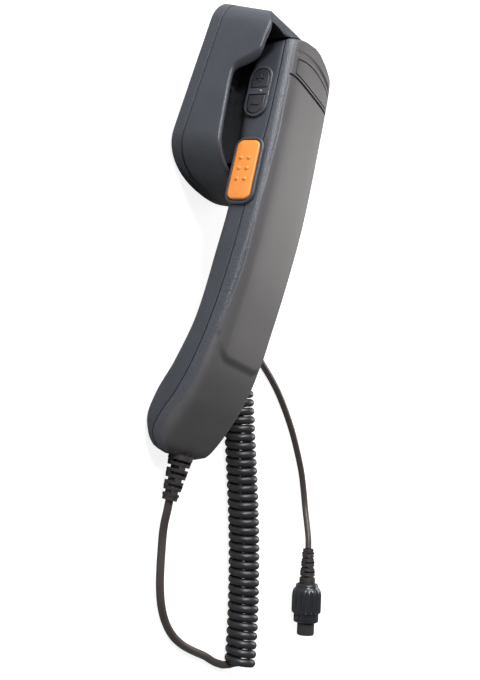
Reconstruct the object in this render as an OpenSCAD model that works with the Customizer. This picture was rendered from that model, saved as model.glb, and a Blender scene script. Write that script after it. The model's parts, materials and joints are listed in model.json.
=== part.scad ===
// Telephone-style radio handset, lying face down on its ear cup rim and its mouthpiece.
// Millimetres. +Y runs along the handle to the ear cup, +Z is the back of the handle,
// -X is the side with the talk button. Z = 0 is the table.

/* [Handle] */
// Wall thickness of the moulded shells
wall = 2.2; // [1.8:0.1:2.6]
// How square the handle section is (2 is an ellipse)
squareness = 5; // [4:0.5:6]
// Clearance between two shells or a fixed insert and its window
fit_gap = 0.1; // [0.05:0.05:0.15]

/* [Ear cup] */
// Half width of the ear cup
cup_half = 33.9; // [33:0.1:34.5]
// Length of the cup along its rim
cup_len = 85.7; // [84:0.1:86]
// Tilt of the rim plane against the table
cup_tilt = 12.6; // [12:0.1:13]
// Height of the separate front cover
cover_high = 3.4; // [3:0.1:4]

/* [Talk button] */
// Length of the orange cap
ptt_len = 27.5; // [26:0.5:28]
// Width of the orange cap
ptt_wide = 11; // [10:0.2:11.4]
// Travel of the cap
ptt_travel = 1.2; // [0.8:0.1:1.3]

/* [Volume keys] */
// Overall length of the key bezel
bezel_len = 24.6; // [24:0.2:25]
// Width of the key bezel
bezel_wide = 11.4; // [11:0.2:12]
// Travel of each key
key_travel = 0.8; // [0.5:0.1:1]

/* [Cord] */
// Diameter of the cord
cord_d = 3.6; // [3.4:0.1:3.8]
// Outer diameter of the curled part
coil_d = 15.6; // [15:0.1:16]

/* [Plug] */
// Radius of the nose that enters the socket
nose_r = 4.85; // [4.8:0.05:5]
// Radius of the fluted coupling sleeve
sleeve_r = 8.4; // [8.2:0.1:8.4]
// Number of flutes on the sleeve
flutes = 16; // [12:1:20]

/* [Hidden] */

// Stations along the handle: y, lowest z, parting line z, highest z, half width
stations = [
    [-104, 6, 8, 10.4, 11],
    [-102, 3.7, 7, 13, 17.5],
    [-97, 1.3, 5.8, 16.6, 20.6],
    [-90, 0, 8.8, 21, 22.2],
    [-80, 2.9, 15.5, 26.6, 22.8],
    [-66, 10.5, 22.4, 32, 23],
    [-45, 18.8, 29, 36.9, 22.7],
    [-20, 23.6, 34.6, 42.6, 22.5],
    [10, 28.2, 39.6, 48, 22.5],
    [45, 29, 45.6, 52, 22.5],
    [74, 31.4, 48.5, 54.6, 22.5],
    [81, 32.2, 49, 55, 21.8],
    [84.5, 33, 49.4, 55.1, 15.5],
    [86.4, 33.5, 49.6, 55.1, 6]
];
Y = 0;
LOW = 1;
PART = 2;
HIGH = 3;
HALF = 4;

section_points = 24;
side_x = 22.5;
side_tilt = 6;
cup_y = 20.8;
cup_z = -0.26;
cup_bottom = 18.1;
cup_corner = 14;
cup_lean = 7;
cup_exponent = 2.3;
rim_round = 1.2;
receiver_y = 42;

ptt_pos = [18.5, 36.8];
keys_pos = [56.2, 39.1];
key_wide = 8.4;
key_len = 9.1;
divider = 3.4;
flange_x = 3;
stem_x = 4.3;
plunger_len = 2;
switch_x = 5.8;
board_x = 7.6;
button_gap = 0.3;

badge_y = 66.2;
badge_deep = 0.8;

side_board_pos = [36, 38.6];
clamp_y = -91;
mic_y = -74;
mic_slope = 28.5;

gland_y = -103.4;
gland_z = 8.9;
gland_tilt = 9;
gland_len = 20.2;

plug_pos = [151, -134, 8.4];
plug_turn = 8.4;
boot_len = 19.2;
sleeve_from = 19.5;
sleeve_to = 35.7;
collar_to = 40.6;
shell_step = 41;
nose_to = 47.8;

cord_side = 8;
coil_side = 20;

// Lead: out of the gland, down to the table and round to the foot of the coil
lead_route = [
    [0, -103.6, 8.9], [0, -111, 7.7], [0, -117.5, 6.7], [0, -123.2, 5.8], [0.8, -128, 4.9], [2.4, -133, 3.3], [4, -138, 2.2], [5.2, -144, 1.8],
    [6.2, -152, 1.8], [7.8, -160, 1.8], [10.6, -167.5, 1.8], [15.5, -174.5, 1.8],
    [23, -180.5, 1.8], [33, -185, 1.8], [44, -188, 1.8], [55, -190.5, 1.8],
    [65, -193.5, 1.8], [74, -195.2, 1.8], [81, -195.4, 1.8]
];

// Axis of the curled part, lying beside the handle
coil_route = [
    [80.8, -193.4, 7.8], [79, -175, 7.8], [75.5, -155, 7.8], [70.3, -133, 7.8],
    [63, -110, 7.8], [54.5, -86, 7.8], [47.2, -65, 7.8]
];

// Tail: from the head of the coil, round behind the handle and back to the plug
tail_route = [
    [46.7, -63.4, 1.8], [45, -56, 1.8], [44.5, -48, 1.8], [47.5, -40.5, 1.8],
    [54, -36, 1.8], [62, -35.2, 1.8], [71, -38, 1.8], [82.4, -42.7, 1.8],
    [94, -47.6, 1.8], [105, -53.4, 1.8], [116.8, -61.5, 1.8], [128, -70.8, 1.8],
    [137.5, -80.8, 1.8], [145.8, -91, 1.8], [151.5, -102, 2], [153.4, -111, 3],
    [152.6, -120, 5.4], [151.4, -128, 7.6], [151, -134, 8.4]
];

// ---- curves ----

// Point between b and c on a smooth curve through a, b, c, d
function smooth_step(a, b, c, d, t) =
    0.5 * (2 * b + (c - a) * t + (2 * a - 5 * b + 4 * c - d) * t * t + (3 * b - a - 3 * c + d) * t * t * t);

// A list of points or stations with extra steps between each pair
function smooth_list(list, steps) = [
    for (i = [0 : len(list) - 2])
        for (k = [0 : steps - 1])
            smooth_step(list[max(i - 1, 0)], list[i], list[i + 1], list[min(i + 2, len(list) - 1)], k / steps),
    list[len(list) - 1]
];

function sign_power(v, p) = sign(v) * pow(abs(v), p);

// ---- lofts and sweeps ----

// Closed solid through rings that all have the same number of points
module loft(rings) {
    n = len(rings[0]);
    last = len(rings) - 1;
    sides = [
        for (i = [0 : last - 1])
            for (k = [0 : n - 1])
                [i * n + k, i * n + (k + 1) % n, (i + 1) * n + (k + 1) % n, (i + 1) * n + k]
    ];
    start = [[for (k = [n - 1 : -1 : 0]) k]];
    end = [[for (k = [0 : n - 1]) last * n + k]];
    polyhedron([for (r = rings) each r], concat(sides, start, end), convexity = 6);
}

// Ring of the handle at one station
function handle_ring(s, inset) = [
    for (k = [0 : section_points - 1])
        let (a = 360 * k / section_points)
            [
                (s[HALF] - inset) * sign_power(cos(a), 2 / squareness),
                s[Y],
                (s[HIGH] + s[LOW]) / 2 + ((s[HIGH] - s[LOW]) / 2 - inset) * sign_power(sin(a), 2 / squareness)
            ]
];

module handle_form(inset, from, to) {
    loft([for (s = stations) if (s[Y] > from && s[Y] < to) handle_ring(s, inset)]);
}

// Side view of everything below the parting line, for cutting the two shells apart
function parting_line(shift) = [for (s = stations) [s[Y], s[PART] + shift]];

module below_parting(shift) {
    line = parting_line(shift);
    side_view(60) polygon(concat([[-120, line[0][1]]], line, [[130, 60], [130, -10], [-120, -10]]));
}

module above_parting(shift) {
    line = parting_line(shift);
    side_view(60) polygon(concat([[-120, line[0][1]]], line, [[130, 52], [130, 80], [-120, 80]]));
}

// Extrudes a drawing in the Y-Z plane across X
module side_view(width) {
    rotate([90, 0, 90]) translate([0, 0, -width / 2]) linear_extrude(width) children();
}

// Frame of the direction from one route point to the next
function unit(v) = v / norm(v);
function route_dir(r, i) = unit(r[min(i + 1, len(r) - 1)] - r[max(i - 1, 0)]);

module sweep(route, radius, side) {
    loft([
        for (i = [0 : len(route) - 1])
            let (
                d = route_dir(route, i),
                across = unit(cross(d, [0, 0, 1])),
                up = cross(across, d)
            )
            [for (k = [0 : side - 1]) let (a = 360 * (k + 0.5) / side) route[i] + radius * (cos(a) * across + sin(a) * up)]
    ]);
}

// ---- ear cup frame ----

module in_cup() {
    translate([0, cup_y, cup_z]) rotate([cup_tilt, 0, 0]) children();
}

// Outline of the cup in its rim plane: flattened round bottom, square top with round corners
function cup_outline(inset, lean) = concat(
    [
        for (t = [-90 : 15 : 90])
            [
                (cup_half - inset) * sign_power(sin(t), 2 / cup_exponent),
                cup_bottom - (cup_bottom - inset) * pow(cos(t), 2 / cup_exponent)
            ]
    ],
    [
        for (t = [0 : 15 : 90])
            [cup_half - cup_corner, cup_len - cup_corner - lean] + (cup_corner - inset) * [cos(t), sin(t)]
    ],
    [
        for (t = [90 : 15 : 180])
            [-cup_half + cup_corner, cup_len - cup_corner - lean] + (cup_corner - inset) * [cos(t), sin(t)]
    ]
);

function cup_ring(high, inset) =
    let (line = cup_outline(inset, high * tan(cup_lean)))
        [for (k = [len(line) - 1 : -1 : 0]) [line[k][0], line[k][1], high]];

module cup_form(inset, from, to) {
    loft([cup_ring(from, inset), cup_ring(to, inset)]);
}

// Side view limits of the cup: low ledge beside the keys, then the high shoulder at the ear end
module cup_limit(inset) {
    side_view(80) offset(delta = -inset) polygon([
        [-5, -10], [-5, 28], [16, 28.2], [60, 30.2], [65, 32], [67.4, 37], [70, 42], [73.5, 44.6],
        [84.5, 47.4], [85.6, 52], [98, 41], [106, 38], [112, -10]
    ]);
}

// ---- side features: x grows inwards from the flat side, y along the handle ----

module on_side(pos) {
    translate([-side_x, pos[0], pos[1]]) rotate([side_tilt, 0, 0]) children();
}

// Rounded bar along y, standing from x = from to x = to
module bar(length, width, radius, from, to) {
    translate([from, 0, 0]) rotate([90, 0, 90]) linear_extrude(to - from)
        hull() for (y = [-1, 1], z = [-1, 1])
            translate([y * (length / 2 - radius), z * (width / 2 - radius)]) circle(radius, $fn = 32);
}

// One volume key outline: round at the outer end, square at the divider
module key_shape(extra) {
    intersection() {
        hull() for (y = [-1, 1])
            translate([y * (key_len + divider / 2 - key_wide / 2), 0]) circle(key_wide / 2 + extra, $fn = 40);
        translate([divider / 2 - extra, -20]) square([40, 40]);
    }
}

module key_solid(extra, from, to) {
    translate([from, 0, 0]) rotate([90, 0, 90]) linear_extrude(to - from) key_shape(extra);
}

// ---- casing ----

module front_shell() {
    color("#2b2d33") difference() {
        union() {
            difference() {
                union() {
                    intersection() {
                        handle_form(0, -200, 200);
                        below_parting(-fit_gap / 2);
                    }
                    intersection() {
                        in_cup() cup_form(0, cover_high + fit_gap, 60);
                        cup_limit(0);
                    }
                }
                handle_form(wall, -102, 83);
                cup_cavity();
            }
            handle_posts();
            cup_posts();
        }
        above_parting(-fit_gap / 2);
        cup_pockets();
        on_side(ptt_pos) bar(ptt_len + 4.2, ptt_wide + 3.8, 5.4, -5, 6);
        on_side(keys_pos) bar(bezel_len + 0.2, bezel_wide + 0.2, bezel_wide / 2 + 0.1, -5, 6);
        gland_seat();
        mic_holes();
        screw_positions() translate([0, 0, -1]) cylinder(r = 1.45, h = 6, $fn = 24);
        screw_positions() translate([0, 0, -9]) cylinder(r = 2.7, h = 9.05, $fn = 24);
        board_screw_positions() translate([0, 0, -4]) cylinder(r = 1.1, h = 5, $fn = 20);
        for (x = [-5.5, 5.5]) translate([x, clamp_y, 3.4]) cylinder(r = 1.1, h = 5, $fn = 20);
        on_side(side_board_pos) translate([board_x - fit_gap, -40, -4.7]) cube([1.4, 80, 20]);
        receiver_screw_positions() translate([0, 0, 10]) cylinder(r = 1.1, h = 9.2, $fn = 20);
    }
}

// Pads and posts inside the handle for the case screws, the boards and the cord clamp
module handle_posts() {
    intersection() {
        handle_form(wall / 2, -200, 200);
        union() {
            screw_positions() translate([0, 0, -6]) cylinder(r = 4.2, h = 8, $fn = 24);
            board_screw_positions() translate([0, 0, -14]) cylinder(r = 2.3, h = 13.95, $fn = 20);
            translate([-8, clamp_y - 2.5, 0]) cube([16, 5, 6.5]);
            for (y = [-31, 3])
                on_side(side_board_pos) translate([board_x - 1.2, y, -13]) cube([3.6, 6, 10]);
        }
    }
}

// Posts that carry the receiver clamp
module cup_posts() {
    intersection() {
        in_cup() cup_form(wall / 2, cover_high, 60);
        cup_limit(wall / 2);
        receiver_screw_positions() translate([0, 0, 16.05]) cylinder(r = 2.8, h = 20, $fn = 24);
    }
}

module receiver_screw_positions() {
    in_cup() for (x = [-26, 26]) translate([x, receiver_y, 0]) children();
}

module cup_cavity() {
    intersection() {
        in_cup() cup_form(wall, cover_high - 1, 60);
        union() {
            cup_limit(wall);
            side_view(34) polygon([[44, 20], [44, 33], [78, 37.5], [78, 20]]);
        }
    }
}

// Deep recess on each side between the cup wall and the flat side of the handle
module cup_pockets() {
    for (side = [-1, 1])
        translate([side * 26.6, 0, 0]) side_view(8.2)
            polygon([[24, 31], [60, 31.4], [84, 34], [84, 60], [60, 60], [24, 60]]);
}

module mic_holes() {
    translate([0, mic_y, 6]) rotate([mic_slope, 0, 0])
        for (x = [-3, 0, 3]) translate([x, 0, -4]) cylinder(r = 0.6, h = 9, $fn = 16);
}

// Places of the four screws, each at the underside of its head
module screw_positions() {
    for (x = [-14, 14]) {
        translate([x, -58, 18.6]) children();
        translate([x * 9 / 14, 34, 28.9]) children();
    }
}

module back_shell() {
    color("#4c4b4d") difference() {
        union() {
            difference() {
                intersection() {
                    handle_form(0, -200, 200);
                    above_parting(fit_gap / 2);
                }
                handle_form(wall, -102, 83);
            }
            intersection() {
                screw_positions() translate([0, 0, 2.4]) cylinder(r = 3.2, h = 30, $fn = 24);
                handle_form(wall / 2, -102, 83);
            }
        }
        screw_positions() translate([0, 0, -1]) cylinder(r = 1.35, h = 12, $fn = 24);
        on_side(ptt_pos) bar(ptt_len + 4.2, ptt_wide + 3.8, 5.4, -5, 6);
        gland_seat();
        difference() {
            badge_outline(fit_gap);
            handle_form(badge_deep + fit_gap, 40, 86);
        }
    }
}

// Bare name plate: straight foot, arched head
module badge_outline(extra) {
    translate([0, 0, 45]) linear_extrude(15) intersection() {
        translate([0, badge_y - 24]) circle(34 + extra, $fn = 96);
        translate([-17 - extra, badge_y - extra]) square([34 + 2 * extra, 20]);
    }
}

module badge_plate() {
    color("#3f3f42") difference() {
        intersection() {
            badge_outline(0);
            handle_form(0.05, 40, 86);
        }
        handle_form(badge_deep, 40, 86);
    }
}

module ear_cover() {
    color("#26282c") in_cup() difference() {
        loft([cup_ring(0, rim_round), cup_ring(rim_round, 0), cup_ring(cover_high, 0)]);
        translate([0, 0, 1.8]) cup_form(wall, 0, 10);
        translate([0, receiver_y, 0]) sound_holes(1.1);
        translate([0, receiver_y, -0.01]) cylinder(r1 = 19, r2 = 16.5, h = 0.5, $fn = 64);
    }
}

module sound_holes(radius) {
    translate([0, 0, -1]) cylinder(r = radius, h = 6, $fn = 16);
    for (ring = [1, 2], k = [0 : 6 * ring - 1])
        rotate(k * 60 / ring) translate([ring * 5, 0, -1]) cylinder(r = radius, h = 6, $fn = 16);
}

module ear_mesh() {
    color("#151517") in_cup() translate([0, receiver_y, 1.85]) cylinder(r = 15, h = 0.3, $fn = 48);
}

// ---- receiver ----

module receiver_gasket() {
    color("#1c1c1e") in_cup() translate([0, receiver_y, 2.2]) difference() {
        cylinder(r = 18, h = 1.2, $fn = 48);
        translate([0, 0, -1]) cylinder(r = 15.2, h = 4, $fn = 48);
    }
}

module receiver_frame() {
    color("#8b8d90") in_cup() translate([0, receiver_y, 3.45]) difference() {
        union() {
            cylinder(r = 18, h = 1.6, $fn = 48);
            cylinder(r1 = 17.6, r2 = 10, h = 6.4, $fn = 48);
        }
        translate([0, 0, -1]) cylinder(r = 15.4, h = 2.4, $fn = 48);
        translate([0, 0, 1.3]) cylinder(r1 = 15.4, r2 = 8.4, h = 6, $fn = 48);
    }
}

module receiver_cone() {
    color("#3a3532") in_cup() translate([0, receiver_y, 3.5]) difference() {
        union() {
            cylinder(r = 15.2, h = 0.5, $fn = 48);
            cylinder(r1 = 14, r2 = 5, h = 4, $fn = 48);
        }
        translate([0, 0, -0.5]) cylinder(r1 = 13.6, r2 = 4.4, h = 4, $fn = 48);
    }
}

module receiver_magnet() {
    color("#55575b") in_cup() translate([0, receiver_y, 9.9]) cylinder(r = 9.6, h = 4.4, $fn = 48);
}

module receiver_clamp() {
    color("#2a2c30") in_cup() translate([0, receiver_y, 14.4]) difference() {
        translate([-29, -4, 0]) cube([58, 8, 1.6]);
        translate([0, 0, -1]) cylinder(r = 2.5, h = 4, $fn = 24);
        for (x = [-26, 26]) translate([x, 0, -1]) cylinder(r = 1.15, h = 4, $fn = 20);
    }
}

module receiver_wires() {
    color("#a8322a") sweep([
        [3, 52.8, 22.5], [3, 52.2, 25], [3, 51, 28], [3, 50, 31], [3, 48.6, 34], [3, 46, 37],
        [3, 40, 38.6], [3, 26, 38.4], [3, 12, 38.6], [3, -0.5, 39.2]
    ], 0.7, 8);
}

// ---- microphone ----

module in_mic() {
    translate([0, mic_y, 6]) rotate([mic_slope, 0, 0]) children();
}

module mic_boot() {
    color("#1a1a1c") in_mic() translate([0, 0, wall + 0.8]) difference() {
        cylinder(r = 6, h = 4.6, $fn = 40);
        translate([0, 0, 1]) cylinder(r = 4.75, h = 6, $fn = 40);
        for (x = [-3, 0, 3]) translate([x, 0, -1]) cylinder(r = 0.6, h = 3, $fn = 16);
    }
}

module mic_capsule() {
    color("#b9bcc0") in_mic() translate([0, 0, wall + 1.85]) cylinder(r = 4.7, h = 3.4, $fn = 40);
}

// ---- boards ----

module on_board() {
    translate([0, -26, 32]) rotate([11.5, 0, 0]) children();
}

module board_screw_positions() {
    on_board() for (y = [-21, 21], x = [-12, 12]) translate([x, y, 0]) children();
}

module main_board() {
    color("#2f6b3f") difference() {
        on_board() {
            translate([-15, -25, 0]) cube([30, 50, 1.2]);
            translate([-6, -12, 1.2]) cube([9, 9, 1.3]);
            translate([-9, 8, 1.2]) cube([6, 5, 1]);
            translate([-5, -24, 1.2]) cube([10, 4, 2.6]);
        }
        board_screw_positions() translate([0, 0, -1]) cylinder(r = 1.15, h = 4, $fn = 20);
    }
}

module board_screws() {
    color("#9a9ca0") board_screw_positions() {
        translate([0, 0, 1.25]) cylinder(r = 2, h = 1.3, $fn = 20);
        translate([0, 0, -2.6]) cylinder(r = 1.05, h = 4, $fn = 20);
    }
}

module side_board() {
    color("#2f6b3f") on_side(side_board_pos) translate([board_x, -34, -4.6]) cube([1.2, 66, 9.2]);
}

module case_screws() {
    color("#7d7f83") screw_positions() {
        difference() {
            translate([0, 0, -2]) cylinder(r = 2.5, h = 2, $fn = 24);
            translate([-1.6, -0.3, -2.1]) cube([3.2, 0.6, 1]);
            translate([-0.3, -1.6, -2.1]) cube([0.6, 3.2, 1]);
        }
        cylinder(r = 1.3, h = 10.5, $fn = 24);
    }
}

// ---- talk button ----

module ptt_frame() {
    color("#202226") on_side(ptt_pos) difference() {
        bar(ptt_len + 4, ptt_wide + 3.6, 5.3, -1.5, flange_x - button_gap);
        bar(ptt_len + 2 * button_gap, ptt_wide + 2 * button_gap, 3.3, -5, 6);
    }
}

module ptt_button() {
    color("#f5822b") on_side(ptt_pos) {
        bar(ptt_len, ptt_wide, 3, -2.4, flange_x + 0.1);
        bar(ptt_len + 2.6, ptt_wide + 2.2, 3.8, flange_x, stem_x);
        for (y = [-5, 0, 5], z = [-1.9, 1.9])
            translate([-2.7, y, z]) rotate([0, 90, 0]) cylinder(r = 0.8, h = 1, $fn = 20);
    }
}

// Tactile switch on the side board, open towards the button
module switch_on(pos, travel) {
    bore = stem_x + plunger_len + travel + 0.05 - switch_x;
    color("#c9cacc") on_side(pos) difference() {
        translate([switch_x, -3, -3]) cube([board_x - switch_x, 6, 6]);
        translate([switch_x - 1, 0, 0]) rotate([0, 90, 0]) cylinder(r = 1.8, h = 1 + bore, $fn = 24);
    }
}

module plunger_on(pos) {
    color("#1d1e20") on_side(pos) translate([stem_x, 0, 0]) rotate([0, 90, 0]) cylinder(r = 1.5, h = plunger_len, $fn = 24);
}

module ptt_switch() {
    switch_on(ptt_pos, ptt_travel);
}

module ptt_plunger() {
    plunger_on(ptt_pos);
}

// ---- volume keys ----

function key_pos(side) = keys_pos + side * (divider / 2 + key_len / 2) * [cos(side_tilt), sin(side_tilt)];

module key_bezel() {
    color("#33353b") on_side(keys_pos) difference() {
        union() {
            bar(bezel_len, bezel_wide, bezel_wide / 2, -1.1, flange_x - button_gap);
            translate([-1.4, 0, 1.4]) rotate([0, 90, 0]) cylinder(r = 0.45, h = 1, $fn = 16);
        }
        key_solid(button_gap, -5, 6);
        rotate([180, 0, 0]) key_solid(button_gap, -5, 6);
    }
}

module key_body() {
    key_solid(0, -1, flange_x + 0.1);
    key_solid(0.7, flange_x, stem_x);
}

module volume_up_key() {
    color("#2a2c31") on_side(keys_pos) {
        key_body();
        translate([-1.25, 6.2, 0]) cube([0.5, 0.6, 3.4], center = true);
        translate([-1.25, 6.2, 0]) cube([0.5, 3.4, 0.6], center = true);
    }
}

module volume_down_key() {
    color("#2a2c31") on_side(keys_pos) {
        rotate([180, 0, 0]) key_body();
        translate([-1.25, -6.2, 0]) cube([0.5, 0.6, 3.4], center = true);
    }
}

module volume_up_switch() {
    switch_on(key_pos(1), key_travel);
}

module volume_down_switch() {
    switch_on(key_pos(-1), key_travel);
}

module volume_up_plunger() {
    plunger_on(key_pos(1));
}

module volume_down_plunger() {
    plunger_on(key_pos(-1));
}

// ---- gland and the cable inside the casing ----

module in_gland() {
    translate([0, gland_y, gland_z]) rotate([90 + gland_tilt, 0, 0]) children();
}

module gland_seat() {
    in_gland() {
        translate([0, 0, -9]) cylinder(r = 3.6, h = 12, $fn = 40);
        translate([0, 0, -4.75]) cylinder(r = 5.15, h = 2, $fn = 40);
        translate([0, 0, 0.25]) cylinder(r = 5.6, h = 8, $fn = 40);
    }
}

module gland() {
    color("#2a2829") in_gland() rotate_extrude($fn = 48) polygon(concat(
        [[1.9, -4.6], [5, -4.6], [5, -2.9], [3.5, -2.9], [3.5, 0.4], [5.4, 0.4]],
        [for (k = [0 : 4]) each [
            [5.3 - 0.36 * k, 2.6 + 3.4 * k], [4 - 0.32 * k, 2.7 + 3.4 * k],
            [3.9 - 0.32 * k, 3.9 + 3.4 * k], [5.1 - 0.36 * k, 4 + 3.4 * k]
        ]],
        [[3.4, gland_len], [1.9, gland_len]]
    ));
}

module inner_cable() {
    color("#1d1c1c") sweep([
        [0, -103.5, 8.9], [0, -99, 9.6], [0, -94, 10.2], [0, -88, 11.2], [0, -82, 14],
        [0, -72, 19], [0, -60, 24.4], [0, -53, 27]
    ], cord_d / 2, cord_side);
}

module cord_clamp() {
    color("#3b3d42") translate([0, clamp_y, 0]) difference() {
        translate([-8, -2.5, 6.6]) cube([16, 5, 8]);
        translate([0, 0, 10.7]) rotate([-80.5, 0, 0]) translate([0, 0, -6]) cylinder(r = 1.85, h = 12, $fn = 24);
        for (x = [-5.5, 5.5]) translate([x, 0, 0]) cylinder(r = 1.1, h = 20, $fn = 20);
    }
}

module clamp_screws() {
    color("#7d7f83") for (x = [-5.5, 5.5]) translate([x, clamp_y, 0]) {
        translate([0, 0, 3.6]) cylinder(r = 1.05, h = 11.2, $fn = 20);
        translate([0, 0, 14.65]) cylinder(r = 1.9, h = 1.2, $fn = 20);
    }
    color("#7d7f83") receiver_screw_positions() {
        translate([0, 0, 13.1]) cylinder(r = 1.9, h = 1.25, $fn = 20);
        translate([0, 0, 14.2]) cylinder(r = 1.05, h = 4.8, $fn = 20);
    }
}

// ---- cord ----

module lead() {
    color("#2c2625") sweep(lead_route, cord_d / 2, cord_side);
}

module coil() {
    color("#2a2b2f") sweep(smooth_list(coil_route, 2), coil_d / 2, coil_side);
}

module tail() {
    color("#2c2625") sweep(smooth_list(tail_route, 2), cord_d / 2, cord_side);
}

// ---- plug ----

// z runs from the cord to the nose
module in_plug() {
    translate(plug_pos) rotate([0, 0, plug_turn]) rotate([90, 0, 0]) children();
}

module plug_boot() {
    color("#2a2627") in_plug() rotate_extrude($fn = 40) polygon(concat(
        [[0, 0], [2.9, 0]],
        [for (k = [0 : 4]) each [
            [3 + 0.32 * k, 2.4 + 3 * k], [2.4 + 0.3 * k, 2.6 + 3 * k],
            [2.4 + 0.32 * k, 3.5 + 3 * k], [3.1 + 0.32 * k, 3.7 + 3 * k]
        ]],
        [[4.5, boot_len], [0, boot_len]]
    ));
}

module plug_shell() {
    color("#3b3a3a") in_plug() translate([0, 0, boot_len + 0.05]) difference() {
        union() {
            cylinder(r = 4.5, h = shell_step - boot_len - 0.05, $fn = 64);
            translate([0, 0, shell_step - boot_len - 0.05]) cylinder(r = nose_r, h = nose_to - shell_step, $fn = 64);
        }
        translate([0, 0, 10]) cylinder(r = 4, h = 40, $fn = 64);
    }
}

module coupling_sleeve() {
    color("#25272b") in_plug() difference() {
        rotate_extrude($fn = 96) polygon([
            [4.9, sleeve_from], [5.8, sleeve_from], [6.3, sleeve_from + 0.4], [6.3, sleeve_from + 1.8],
            [7.2, sleeve_from + 2.6], [7.9, sleeve_from + 3.6], [sleeve_r, sleeve_from + 5.4],
            [sleeve_r, sleeve_to - 1.2], [7.8, sleeve_to], [7.1, sleeve_to + 0.1],
            [7.1, collar_to - 0.8], [6.5, collar_to], [4.9, collar_to]
        ]);
        for (k = [0 : flutes - 1])
            rotate((k + 0.5) * 360 / flutes) translate([sleeve_r + 0.5, 0, sleeve_from + 4.2])
                cylinder(r = 0.9, h = sleeve_to - sleeve_from - 6.1, $fn = 24);
    }
}

module plug_insulator() {
    color("#1b1b1c") in_plug() translate([0, 0, boot_len + 10.1]) cylinder(r = 3.95, h = 15.9, $fn = 48);
}

module contact_pins() {
    color("#d8b45c") in_plug() {
        translate([0, 0, boot_len + 26.05]) cylinder(r = 0.4, h = 2, $fn = 16);
        for (k = [0 : 8]) rotate(k * 40) translate([2.6, 0, boot_len + 26.05]) cylinder(r = 0.4, h = 2, $fn = 16);
    }
}

module plug_seal() {
    color("#1a1a1a") in_plug() translate([0, 0, collar_to + 0.2]) rotate_extrude($fn = 48)
        translate([nose_r - 0.1, 0]) circle(0.17, $fn = 16);
}

front_shell();
back_shell();
badge_plate();
ear_cover();
ear_mesh();
receiver_frame();
receiver_magnet();
receiver_cone();
receiver_gasket();
receiver_clamp();
mic_capsule();
mic_boot();
main_board();
side_board();
board_screws();
case_screws();
ptt_frame();
ptt_button();
ptt_switch();
ptt_plunger();
key_bezel();
volume_up_key();
volume_down_key();
volume_up_switch();
volume_down_switch();
volume_up_plunger();
volume_down_plunger();
cord_clamp();
clamp_screws();
inner_cable();
receiver_wires();
gland();
lead();
coil();
tail();
plug_boot();
plug_shell();
coupling_sleeve();
plug_insulator();
contact_pins();
plug_seal();
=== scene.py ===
import json
from bisect import bisect_right
from math import atan2, cos, hypot, pi, radians, sin, tan

import bmesh
import bpy
from mathutils import Matrix, Vector


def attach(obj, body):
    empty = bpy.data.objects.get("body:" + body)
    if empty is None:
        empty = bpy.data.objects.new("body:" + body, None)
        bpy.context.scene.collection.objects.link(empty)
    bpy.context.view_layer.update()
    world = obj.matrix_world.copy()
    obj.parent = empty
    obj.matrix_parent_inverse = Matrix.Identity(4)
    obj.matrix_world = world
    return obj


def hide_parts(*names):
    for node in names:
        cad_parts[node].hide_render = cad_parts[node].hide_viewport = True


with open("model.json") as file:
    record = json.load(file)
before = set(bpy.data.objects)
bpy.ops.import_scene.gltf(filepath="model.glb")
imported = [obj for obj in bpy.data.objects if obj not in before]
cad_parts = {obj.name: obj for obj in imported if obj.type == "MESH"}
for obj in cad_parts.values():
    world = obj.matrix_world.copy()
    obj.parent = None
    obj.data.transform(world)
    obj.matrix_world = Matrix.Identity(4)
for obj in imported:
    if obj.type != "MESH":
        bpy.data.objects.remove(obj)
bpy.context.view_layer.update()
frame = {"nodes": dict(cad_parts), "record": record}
cadNodes = frame["nodes"]
mm = 0.001
print("frame loaded:", len(cadNodes), "nodes")


# Camera

view = {
    "place": (-343.0, -146.6, 220.1),
    "aim": (0.0, -51.5, 31.5),
    "roll": 89.2,
    "lens": 48.4,
    "sensor": 36.0,
}


def addCamera():
    data = bpy.data.cameras.new("camera")
    data.lens = view["lens"]
    data.sensor_width = view["sensor"]
    data.clip_start = 0.01
    data.clip_end = 20
    camera = bpy.data.objects.new("camera", data)
    bpy.context.scene.collection.objects.link(camera)
    place = Vector(view["place"]) * mm
    aim = Vector(view["aim"]) * mm
    turn = (aim - place).to_track_quat("-Z", "Y").to_matrix().to_4x4()
    camera.matrix_world = Matrix.Translation(place) @ turn @ Matrix.Rotation(radians(view["roll"]), 4, "Z")
    bpy.context.scene.camera = camera


addCamera()
print("camera placed")


# Helpers for shapes

def track(points):
    # smooth curve through (place, value) pairs that never overshoots them
    at = [p[0] for p in points]
    value = [p[1] for p in points]
    slope = [(value[i + 1] - value[i]) / (at[i + 1] - at[i]) for i in range(len(at) - 1)]
    lean = [slope[0]]
    for before, after in zip(slope, slope[1:]):
        lean.append(2 * before * after / (before + after) if before * after > 0 else 0.0)
    lean.append(slope[-1])

    def read(t):
        i = min(max(bisect_right(at, t) - 1, 0), len(at) - 2)
        step = at[i + 1] - at[i]
        s = min(max((t - at[i]) / step, 0.0), 1.0)
        return (
            value[i] * (1 + 2 * s) * (1 - s) ** 2
            + lean[i] * step * s * (1 - s) ** 2
            + value[i + 1] * s * s * (3 - 2 * s)
            + lean[i + 1] * step * s * s * (s - 1)
        )

    return read


def ease(low, high, t):
    s = min(max((t - low) / (high - low), 0.0), 1.0)
    return s * s * (3 - 2 * s)


def power(value, exponent):
    # keeps the sign of the value
    return (1 if value > 0 else -1) * abs(value) ** exponent


def wrapGrid(cols, rows, place):
    # a flat grid whose every point is laid on a form: place(u, v) for u and v from 0 to 1
    bm = bmesh.new()
    bmesh.ops.create_grid(bm, x_segments=cols, y_segments=rows, size=0.5)
    for vert in bm.verts:
        vert.co = Vector(place(vert.co.x + 0.5, vert.co.y + 0.5)) * mm
    bmesh.ops.remove_doubles(bm, verts=bm.verts, dist=1e-7)
    return bm


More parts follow.
